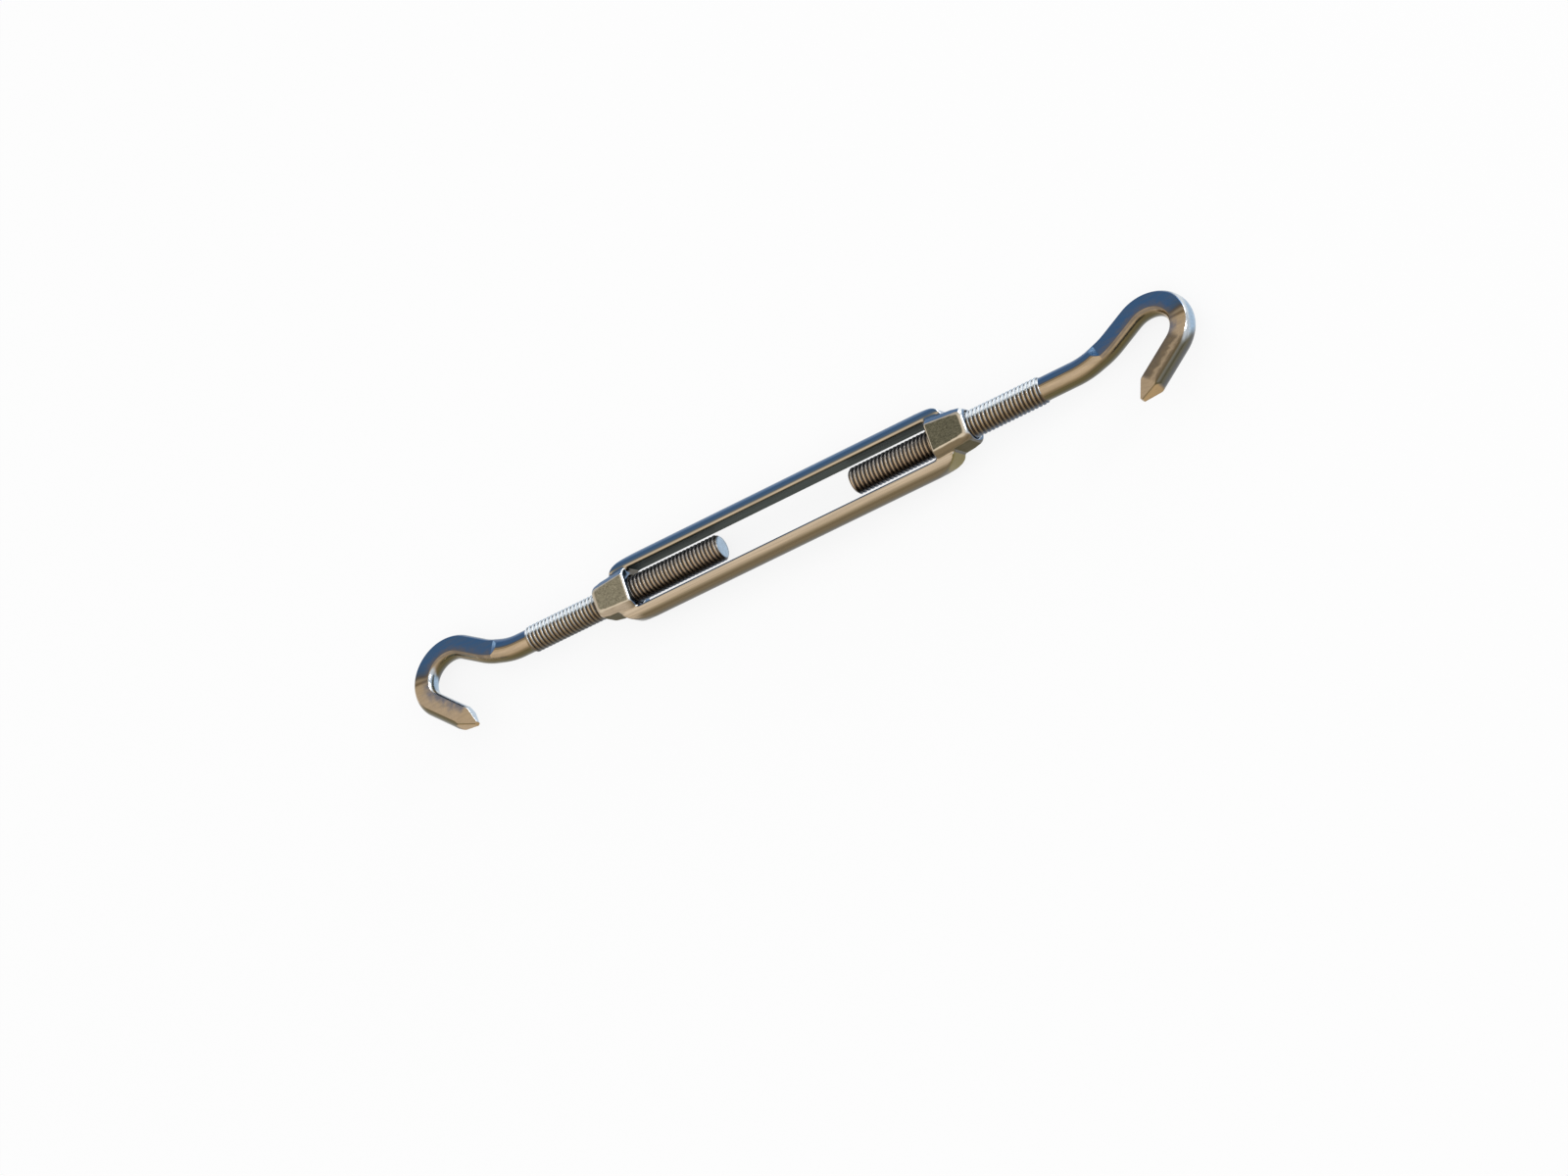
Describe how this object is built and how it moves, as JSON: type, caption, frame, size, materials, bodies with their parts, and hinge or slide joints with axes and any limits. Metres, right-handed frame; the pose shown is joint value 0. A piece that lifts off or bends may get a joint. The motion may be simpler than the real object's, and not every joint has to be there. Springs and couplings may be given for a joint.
{
  "type": "turnbuckle",
  "caption": "Open-body stainless turnbuckle: a cast frame with round-edged side bars, drawn together by opposite-handed hook screws that slide out on their threads.",
  "frame": {"origin": "middle of the open slot, on the screw axis", "axes": "+X along the screw axis towards the screw with the left-hand thread, the two bars in the XY plane, +Z square to the slot and up as the part lies"},
  "size_m": [0.2565, 0.0304, 0.0151],
  "materials": {
    "cast_frame": "polished stainless casting, grainy on the bosses' top and bottom faces",
    "hook_rod": "polished stainless rod"
  },
  "bodies": {
    "frame": {"frame_body": "cast_frame"},
    "screw_right_hand": {"hook_screw_right_hand": "hook_rod"},
    "screw_left_hand": {"hook_screw_left_hand": "hook_rod"}
  },
  "joints": [
    {"name": "screw_right_hand_travel", "type": "slide", "parent": "frame", "child": "screw_right_hand", "axis": [-1, 0, 0], "range_m": [-0.02125, 0.02625]},
    {"name": "screw_left_hand_travel", "type": "slide", "parent": "frame", "child": "screw_left_hand", "axis": [1, 0, 0], "range_m": [-0.02125, 0.02625]}
  ],
  "couplings": [
    {"joint": "screw_left_hand_travel", "follows": "screw_right_hand_travel", "ratio": 1}
  ]
}
